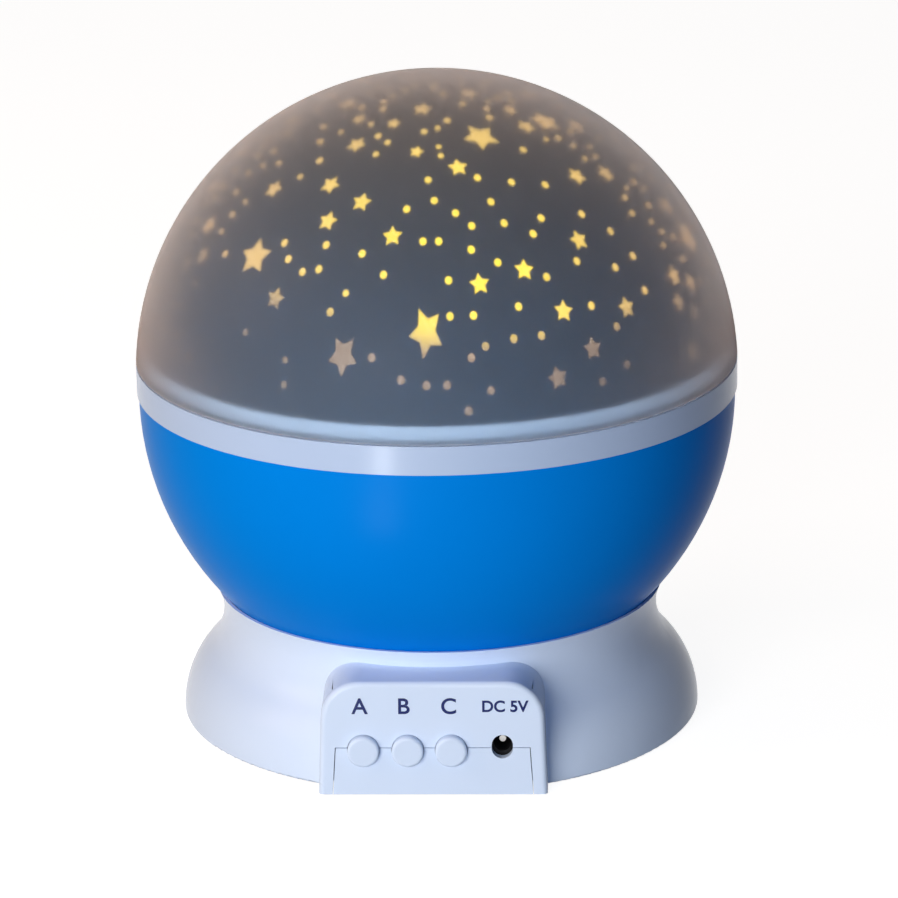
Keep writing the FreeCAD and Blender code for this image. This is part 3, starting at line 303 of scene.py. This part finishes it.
def turned_shell(name, outline, made, body, replaced):
    """A closed outline of (radius, height) points, turned around the lamp's axis."""
    mesh = bmesh.new()
    rings = []
    for across, height in outline:
        if across < ON_THE_AXIS:
            rings.append([mesh.verts.new((0, 0, height))])
            continue
        rings.append([mesh.verts.new((across * math.cos(math.tau * k / TURN_STEPS),
                                      across * math.sin(math.tau * k / TURN_STEPS), height))
                      for k in range(TURN_STEPS)])
    for low, high in zip(rings, rings[1:] + rings[:1]):
        for k in range(TURN_STEPS):
            after = (k + 1) % TURN_STEPS
            corners = [low[k % len(low)], low[after % len(low)],
                       high[after % len(high)], high[k % len(high)]]
            corners = list(dict.fromkeys(corners))
            if len(corners) > 2:
                mesh.faces.new(corners)
    bmesh.ops.recalc_face_normals(mesh, faces=mesh.faces)
    for face in mesh.faces:
        face.smooth = True
    for edge in mesh.edges:
        if len(edge.link_faces) == 2 and edge.calc_face_angle() > SHARP_CORNER:
            edge.smooth = False
    data = bpy.data.meshes.new(name)
    mesh.to_mesh(data)
    mesh.free()
    data.materials.append(made)
    piece = bpy.data.objects.new(name, data)
    bpy.context.collection.objects.link(piece)
    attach(piece, body)
    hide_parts(replaced)
    return piece


def rim_angle(height, radius):
    """The angle over the level, in degrees, at which a ball about the dome's centre reaches a height."""
    return math.degrees(math.asin((height - DOME_CENTRE) / radius))


dark_print_painted_light, nodes, links = fresh_finish("dark_print_painted_light")
shader = nodes["Principled BSDF"]
shader.inputs["Roughness"].default_value = 0.4
shader.inputs["Specular IOR Level"].default_value = 0.02
place = nodes.new("ShaderNodeTexCoord")
up_the_dome = nodes.new("ShaderNodeSeparateXYZ")
links.new(place.outputs["Object"], up_the_dome.inputs[0])
way_up = nodes.new("ShaderNodeMapRange")
way_up.inputs["From Min"].default_value = STAR_BOTTOM
way_up.inputs["From Max"].default_value = STAR_TOP
links.new(up_the_dome.outputs["Z"], way_up.inputs["Value"])
# Painted light on the print: bluer low down, browner at the top.
painted_light_ramp = nodes.new("ShaderNodeValToRGB")
for at, shade in PRINT_WITH_PAINTED_LIGHT[1:-1]:
    painted_light_ramp.color_ramp.elements.new(at)
for stop, (at, shade) in zip(painted_light_ramp.color_ramp.elements, PRINT_WITH_PAINTED_LIGHT):
    stop.position = at
    stop.color = (*shade, 1)
links.new(way_up.outputs["Result"], painted_light_ramp.inputs["Fac"])
links.new(painted_light_ramp.outputs["Color"], shader.inputs["Base Color"])

STAR_INNER_R = STAR_R - STAR_WALL
star_outline = (arc((0, DOME_CENTRE), STAR_R, rim_angle(STAR_BOTTOM, STAR_R), 90, STAR_STEPS)
                + arc((0, DOME_CENTRE), STAR_INNER_R, 90, rim_angle(STAR_BOTTOM, STAR_INNER_R), STAR_STEPS))
star_dome = turned_shell("star_dome_shell", star_outline, dark_print_painted_light, "star_carrier", "star_dome")


# Star and dot windows.
# Bare places in the star dome's print, where the clear plastic lets the light out. That light is painted on
# the windows as their own glow, and the light chips give none. The lamp board faces up, so windows above it
# are painted a bright warm yellow, and those below it dim and pinkish. Windows towards the front are painted
# brighter and yellower than those at the sides and back.

MIDDLE = 2.05 * MM
SMALL = 1.5 * MM
DOT = 0.72 * MM
STAR_TALL = 1.12          # how much taller than wide a middle star is
DOT_TALL = 1.2
STAR_WAIST = 0.53         # a star's inner corners, as a share of its tips
STAR_POINTS = 5
DOT_SIDES = 20
SIDE_STEPS = 5            # steps along each side of a star

# Longitude and latitude in degrees, and for a big star its size in mm, its turn and how much taller it is.
BIG_STARS = [(0, 24, 3.35, 26, 1.55), (26, 67, 3.7, 18, 1.1), (-45, 35, 3.9, 12, 1.0),
             (-17, 19, 3.0, 36, 1.35), (-112, 57, 3.8, 0, 1.1), (-135, 70, 3.6, 30, 1.1),
             (82, 30, 3.8, 12, 1.1), (128, 33, 3.6, 8, 1.1), (168, 55, 3.8, 25, 1.1),
             (-148, 30, 3.5, 14, 1.1), (-92, 18, 3.0, 3, 1.2), (70, 66, 3.2, 40, 1.1),
             (150, 18, 3.0, 22, 1.2)]
MIDDLE_STARS = [(12, 33), (23, 35), (-9, 43), (-28, 45), (-20, 50), (-33, 53), (11, 59), (40, 39), (30, 26),
                (46, 24), (53, 52), (66, 50), (-53, 49), (-35, 28), (-64, 31), (-84, 42), (-34, 64),
                (-77, 73), (-8, 78), (62, 82), (55, 67), (102, 71), (83, 61), (35, 18), (63, 21), (71, 23)]
DOTS = [(-1, 42), (3, 42), (12, 45), (11, 40), (8, 48), (2, 51), (-6, 49), (-16, 39), (-10, 35), (-26, 40),
        (5, 34), (5, 27), (10, 27), (17, 37), (28, 33), (20, 28), (28, 42), (21, 45), (32, 45), (19, 50),
        (28, 54), (39, 52), (17, 56), (0, 56), (37, 35), (45, 44), (51, 39), (47, 32), (54, 33), (37, 26),
        (53, 26), (42, 21), (24, 22), (18, 22), (12, 21), (9, 19), (-38, 39), (-30, 34), (-26, 35),
        (-35, 36), (-11, 19), (-5, 15), (0, 14), (4, 14), (8, 9), (-21, 27)]

# The rest of the dome is scattered with more of them, closely at the sides and back and thinly in front.
SEED = 12
MOST_WINDOWS = 560
MOST_TRIES = 20000
LOWEST_WINDOW = math.radians(10)
STARS_AMONG_DOTS = 0.2
SCATTERED_TALL = 1.15
LEAST_DOT, MOST_DOT = 0.8, 1.05
MOST_TURN = 12            # degrees that a scattered star leans to either side
FRONT_FROM, FRONT_TO = -60, 62
FRONT_TOP = 62
FRONT_SKIPPED = 0.85      # the share of places in front that stay bare
FRONT_SPACE = 3.2 * MM
SPACE = 1.3 * MM


def direction(longitude, latitude):
    """A unit direction from the dome's centre; longitude 0 is the front, and it grows to the right."""
    lon, lat = math.radians(longitude), math.radians(latitude)
    return Vector((math.sin(lon) * math.cos(lat), -math.cos(lon) * math.cos(lat), math.sin(lat)))


windows = [(direction(lon, lat), size * MM, turn, tall, STAR_POINTS)
           for lon, lat, size, turn, tall in BIG_STARS]
windows += [(direction(lon, lat), MIDDLE, (lon * 7 + lat * 3) % 24 - 12, STAR_TALL, STAR_POINTS)
            for lon, lat in MIDDLE_STARS]
windows += [(direction(lon, lat), DOT, 0, DOT_TALL, 1) for lon, lat in DOTS]
scatter = random.Random(SEED)
tries = 0
while len(windows) < MOST_WINDOWS and tries < MOST_TRIES:
    tries += 1
    latitude = math.degrees(math.asin(scatter.uniform(math.sin(LOWEST_WINDOW), 1)))
    longitude = scatter.uniform(-180, 180)
    in_front = FRONT_FROM < longitude < FRONT_TO and latitude < FRONT_TOP
    star = scatter.random() < STARS_AMONG_DOTS
    size = scatter.choice((MIDDLE, SMALL)) if star else DOT * scatter.uniform(LEAST_DOT, MOST_DOT)
    spot = direction(longitude, latitude)
    space = FRONT_SPACE if in_front else SPACE
    if in_front and scatter.random() < FRONT_SKIPPED:
        continue
    if all((spot - other).length * STAR_R > size + reach + space for other, reach, _, _, _ in windows):
        windows.append((spot, size, scatter.uniform(-MOST_TURN, MOST_TURN), SCATTERED_TALL,
                        STAR_POINTS if star else 1))


def window_rim(size, turn, tall, points):
    """The outline of a window, flat, as (across, up) places: a star or a round dot."""
    if points == 1:
        angles = [math.tau * k / DOT_SIDES for k in range(DOT_SIDES)]
        return [(size * math.cos(angle), size * tall * math.sin(angle)) for angle in angles]
    corners = []
    for k in range(points * 2):
        reach = size * (STAR_WAIST if k % 2 else 1)
        angle = math.pi * k / points + math.radians(turn + 90)
        corners.append(Vector((reach * math.cos(angle), reach * math.sin(angle))))
    rim = []
    for here, there in zip(corners, corners[1:] + corners[:1]):
        rim += [here.lerp(there, step / SIDE_STEPS) for step in range(SIDE_STEPS)]
    return [(place.x, place.y * tall) for place in rim]


YELLOW = Vector((1.40, 0.92, 0.0))
PEACH = Vector((0.77, 0.41, 0.16))
DIM = Vector((0.38, 0.205, 0.125))
FRINGE = 0.5                             # how bright a window is at its very edge
# Painted front glow: windows near this way are painted brightest and yellowest, and dimmer away from it all
# round.
BRIGHTEST_WAY = direction(6, 38)
BRIGHT_SPREAD = math.radians(33)
STRAY_ALL_ROUND = 0.2
SHADE_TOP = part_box("light_chip_warm")[1][2] - 3 * MM     # windows under this height are in the board's shade
SHADE_LEAN = 0.2                         # the shade's top rises this much to each length leftwards
SHADE_BLUR = 6 * MM
SHADE_CURVE = 1.6


def window_colour(spot, place, warmth, strength):
    """The light that leaves a window at one of its points."""
    shade = SHADE_TOP - SHADE_LEAN * min(place.x, 0)
    lit = min(max((place.z - shade) / SHADE_BLUR, 0), 1) ** SHADE_CURVE
    # How much of the painted front glow this window gets.
    front_painted_glow = math.exp(-(spot.angle(BRIGHTEST_WAY) / BRIGHT_SPREAD) ** 2)
    stray = DIM * (STRAY_ALL_ROUND + (1 - STRAY_ALL_ROUND) * front_painted_glow) * (1 - lit)
    return (stray + PEACH.lerp(YELLOW, front_painted_glow) * lit * warmth) * strength


windows_mesh = bmesh.new()
glow = windows_mesh.verts.layers.float_color.new("glow")
CENTRE = Vector((0, 0, DOME_CENTRE))
WINDOW_FRONT = STAR_R + 0.06 * MM
WINDOW_BACK = STAR_R - STAR_WALL / 2
EDGE_SHARE = 0.78                        # the fringe ends at this share of a window's size
LEAST_STRENGTH, MOST_STRENGTH = 0.88, 1.12


def window_point(way, reach, spot, warmth, strength):
    """A point of a window, with its own light."""
    vert = windows_mesh.verts.new(CENTRE + way * reach)
    vert[glow] = (*window_colour(spot, vert.co, warmth, strength), 1)
    return vert


for spot, size, turn, tall, points in windows:
    side = Vector((0, 0, 1)).cross(spot)
    side = side.normalized() if side.length > 1e-3 else Vector((1, 0, 0))
    rise = spot.cross(side)
    strength = scatter.uniform(LEAST_STRENGTH, MOST_STRENGTH)
    rows = []
    for share, reach, warmth in ((1.0, WINDOW_BACK, FRINGE), (1.0, WINDOW_FRONT, FRINGE),
                                 (EDGE_SHARE, WINDOW_FRONT, 1.0)):
        rows.append([window_point((spot * STAR_R + (side * across + rise * up) * share).normalized(), reach,
                                  spot, warmth, strength)
                     for across, up in window_rim(size, turn, tall, points)])
    middle = window_point(spot, WINDOW_FRONT, spot, 1.0, strength)
    base = window_point(spot, WINDOW_BACK, spot, FRINGE, strength)
    back_row, front_row, inner_row = rows
    count = len(back_row)
    for k in range(count):
        after = (k + 1) % count
        windows_mesh.faces.new((back_row[k], back_row[after], front_row[after], front_row[k]))
        windows_mesh.faces.new((front_row[k], front_row[after], inner_row[after], inner_row[k]))
        windows_mesh.faces.new((inner_row[k], inner_row[after], middle))
        windows_mesh.faces.new((base, back_row[after], back_row[k]))
windows_data = bpy.data.meshes.new("star_windows")
windows_mesh.to_mesh(windows_data)
windows_mesh.free()
star_windows = bpy.data.objects.new("star_windows", windows_data)
bpy.context.collection.objects.link(star_windows)

window_glow, nodes, links = fresh_finish("window_glow")
shader = nodes["Principled BSDF"]
shader.inputs["Roughness"].default_value = 0.4
shader.inputs["Base Color"].default_value = (0.2, 0.15, 0.1, 1)
shader.inputs["Emission Strength"].default_value = 1.6
stored = nodes.new("ShaderNodeAttribute")
stored.attribute_name = "glow"
links.new(stored.outputs["Color"], shader.inputs["Emission Color"])
windows_data.materials.append(window_glow)
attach(star_windows, "star_carrier")


# Globe.
# The upper half of the ball, moulded in frosted polypropylene. Its spigot drops into the white ring, and it
# lifts straight off. The frosting blurs and veils the dark dome inside, most of all near the ring.

globe_low, globe_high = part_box("outer_dome")
GLOBE_R = STAR_R + (globe_high[2] - STAR_TOP)
GLOBE_WALL = 1.6 * MM
GLOBE_INNER_R = GLOBE_R - GLOBE_WALL
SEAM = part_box("upper_deck")[0][2] + 5.9 * MM
SPIGOT_OUT = globe_high[0] - 1.45 * MM
SPIGOT_IN = globe_high[0] - 2.25 * MM
SPIGOT_TOP = SEAM + 0.3 * MM
EDGE = 0.35 * MM
GLOBE_STEPS = 96
EDGE_STEPS = 5
MILKY_WHITE = (0.69, 0.85, 0.98)
VEIL_PEACH = (1.0, 0.80, 0.70)
DEPTH_AMBER = (0.75, 0.42, 0.22)
COARSE_FROST = 0.66       # the frosting's roughness at the seam
FINE_FROST = 0.36         # and from this far over the seam upwards
FROST_RISE = 20 * MM

low_angle = rim_angle(SEAM + EDGE, GLOBE_R)
inner_angle = rim_angle(SPIGOT_TOP, GLOBE_INNER_R)
skirt = GLOBE_R * math.cos(math.radians(low_angle))
globe_outline = (arc((0, DOME_CENTRE), GLOBE_R, low_angle, 90, GLOBE_STEPS)
                 + arc((0, DOME_CENTRE), GLOBE_INNER_R, 90, inner_angle, GLOBE_STEPS)
                 + [(SPIGOT_IN, SPIGOT_TOP), (SPIGOT_IN, globe_low[2]), (SPIGOT_OUT, globe_low[2]),
                    (SPIGOT_OUT, SEAM)]
                 + arc((skirt - EDGE, SEAM + EDGE), EDGE, -90, -5, EDGE_STEPS))

frosted, nodes, links = fresh_finish("frosted_globe")
shader = nodes["Principled BSDF"]
shader.inputs["Base Color"].default_value = (*MILKY_WHITE, 1)
shader.inputs["IOR"].default_value = 1.22
shader.inputs["Specular Tint"].default_value = (0.25, 0.25, 0.25, 1)
shader.inputs["Transmission Weight"].default_value = 0.95
shader.inputs["Sheen Weight"].default_value = 0.36
shader.inputs["Sheen Roughness"].default_value = 0.5
shader.inputs["Sheen Tint"].default_value = (*VEIL_PEACH, 1)
place = nodes.new("ShaderNodeTexCoord")
up_the_wall = nodes.new("ShaderNodeSeparateXYZ")
links.new(place.outputs["Object"], up_the_wall.inputs[0])
frosting = nodes.new("ShaderNodeMapRange")
frosting.interpolation_type = "SMOOTHSTEP"
frosting.inputs["From Min"].default_value = SEAM
frosting.inputs["From Max"].default_value = SEAM + FROST_RISE
frosting.inputs["To Min"].default_value = COARSE_FROST
frosting.inputs["To Max"].default_value = FINE_FROST
links.new(up_the_wall.outputs["Z"], frosting.inputs["Value"])
links.new(frosting.outputs["Result"], shader.inputs["Roughness"])
add_grain(nodes, links, place, 0.01, 0.5)
wall_depth = nodes.new("ShaderNodeVolumeAbsorption")
wall_depth.inputs["Color"].default_value = (*DEPTH_AMBER, 1)
wall_depth.inputs["Density"].default_value = 210.0
links.new(wall_depth.outputs[0], nodes["Material Output"].inputs["Volume"])
globe = turned_shell("globe", globe_outline, frosted, "globe", "outer_dome")


# Table, light and camera.
# A pale table top, clear from below so that the foot can be seen, and a white backdrop. The soft light
# comes from the front left, and a longer lens stands about a metre away, a little above the lamp.

TABLE_REACH = 6.0
TABLE_TOP = -0.03 * MM    # a hair under the feet, so that the two faces never fall together
TABLE_GREY = (0.38, 0.38, 0.385)
TABLE_SEEN = (0.91, 0.91, 0.91)
ROOM_LIGHT = (1.0, 0.95, 0.92)
MIDDLE_OF_LAMP = (0, 0, 0.065)
DAYLIGHT = (1.0, 0.98, 0.94)


def any_view(nodes, links):
    """One for a ray from the camera, a reflection or a see-through surface, and nought for the rest."""
    ray = nodes.new("ShaderNodeLightPath")
    so_far = ray.outputs["Is Camera Ray"]
    for kind in ("Is Glossy Ray", "Is Transmission Ray"):
        either = nodes.new("ShaderNodeMath")
        either.operation = "MAXIMUM"
        links.new(so_far, either.inputs[0])
        links.new(ray.outputs[kind], either.inputs[1])
        so_far = either.outputs[0]
    return so_far


def choose(nodes, links, share, first, second):
    """One of two shaders, by a share from nought to one."""
    mix = nodes.new("ShaderNodeMixShader")
    links.new(share, mix.inputs[0])
    links.new(first.outputs[0], mix.inputs[1])
    links.new(second.outputs[0], mix.inputs[2])
    return mix


table_mesh = bpy.data.meshes.new("table_top")
table_mesh.from_pydata([(across * TABLE_REACH, back * TABLE_REACH, TABLE_TOP)
                        for across, back in ((-1, -1), (1, -1), (1, 1), (-1, 1))], [], [(0, 1, 2, 3)])
table = bpy.data.objects.new("table_top", table_mesh)
bpy.context.collection.objects.link(table)
pale, nodes, links = fresh_finish("pale_table")
nodes.clear()
out = nodes.new("ShaderNodeOutputMaterial")
lit_part = nodes.new("ShaderNodeBsdfDiffuse")
lit_part.inputs["Color"].default_value = (*TABLE_GREY, 1)
seen_part = nodes.new("ShaderNodeEmission")
seen_part.inputs["Color"].default_value = (*TABLE_SEEN, 1)
both = nodes.new("ShaderNodeAddShader")
links.new(lit_part.outputs[0], both.inputs[0])
links.new(seen_part.outputs[0], both.inputs[1])
from_above = choose(nodes, links, any_view(nodes, links), lit_part, both)
side_seen = nodes.new("ShaderNodeNewGeometry")
clear = nodes.new("ShaderNodeBsdfTransparent")
table_look = choose(nodes, links, side_seen.outputs["Backfacing"], from_above, clear)
links.new(table_look.outputs[0], out.inputs["Surface"])
table_mesh.materials.append(pale)

room = bpy.data.worlds.new("room")
bpy.context.scene.world = room
room.use_nodes = True
nodes, links = room.node_tree.nodes, room.node_tree.links
nodes.clear()
out = nodes.new("ShaderNodeOutputWorld")
ambient = nodes.new("ShaderNodeBackground")
ambient.inputs["Color"].default_value = (*ROOM_LIGHT, 1)
ambient.inputs["Strength"].default_value = 0.04
white = nodes.new("ShaderNodeBackground")
white.inputs["Color"].default_value = (1, 1, 1, 1)
room_look = choose(nodes, links, any_view(nodes, links), ambient, white)
links.new(room_look.outputs[0], out.inputs["Surface"])


def area_light(name, at, aim, size, power, colour, height=None):
    """A soft panel light that faces a point."""
    light = bpy.data.lights.new(name, "AREA")
    light.energy = power
    light.color = colour
    light.size = size
    if height:
        light.shape = "RECTANGLE"
        light.size_y = height
    lamp = bpy.data.objects.new(name, light)
    bpy.context.collection.objects.link(lamp)
    lamp.location = at
    lamp.rotation_euler = (Vector(aim) - Vector(at)).to_track_quat("-Z", "Y").to_euler()
    return lamp


area_light("key_light", (-0.315, -0.896, 0.25), MIDDLE_OF_LAMP, size=0.5, power=6.05, colour=DAYLIGHT)
area_light("side_light", (-0.85, -0.2, 0.55), MIDDLE_OF_LAMP, size=0.5, power=3.1, colour=(1.0, 0.78, 0.68))
area_light("top_light", (-0.1, 0.25, 1.1), MIDDLE_OF_LAMP, size=0.6, power=0.7, colour=(1.0, 0.72, 0.52))
area_light("fill_light", (0.38, -0.96, 0.12), MIDDLE_OF_LAMP, size=0.4, power=1.1, colour=(0.12, 0.42, 1.0))

# Light off the table in front: a pale card that softens the shadows under the bowl, and a bright strip
# that only shows as the highlight on the white ring.
card = area_light("table_card", (-0.07, -0.27, 0.004), (0, 0, 0.04), size=0.25, power=0.24, colour=DAYLIGHT,
                  height=0.12)
card.visible_camera = False
strip = area_light("strip_light", (-0.066, -0.226, 0.003), (-0.066, -0.226, 1.0), size=0.02, power=0.4,
                   colour=DAYLIGHT, height=0.22)
strip.rotation_euler.z = math.radians(-16.3)
strip.visible_camera = False
strip.visible_diffuse = False
strip.visible_transmission = False

AZIMUTH = math.radians(1.94)
ELEVATION = math.radians(18.03)
ROLL = math.radians(-0.79)
DISTANCE = 1.0
FOCAL_PIXELS = 4958
PHOTO_WIDTH = 898
SENSOR = 36.0
AIM_UNDER_SEAM = 20.2 * MM
AIM_RIGHT = 2.21 * MM
back = Vector((math.sin(AZIMUTH) * math.cos(ELEVATION), -math.cos(AZIMUTH) * math.cos(ELEVATION),
               math.sin(ELEVATION)))
right = Vector((math.cos(AZIMUTH), math.sin(AZIMUTH), 0))
up = back.cross(right)
target = Vector((0, 0, SEAM - AIM_UNDER_SEAM)) + right * AIM_RIGHT
rolled_right = right * math.cos(ROLL) + up * math.sin(ROLL)
rolled_up = up * math.cos(ROLL) - right * math.sin(ROLL)
camera = bpy.data.cameras.new("camera")
camera.sensor_width = SENSOR
camera.lens = FOCAL_PIXELS * SENSOR / PHOTO_WIDTH
camera.clip_start = 0.05
view = bpy.data.objects.new("camera", camera)
bpy.context.collection.objects.link(view)
turn = Matrix((rolled_right, rolled_up, back)).transposed().to_4x4()
view.matrix_world = Matrix.Translation(target + back * DISTANCE) @ turn
bpy.context.scene.camera = view
bpy.context.scene.view_settings.view_transform = "Standard"
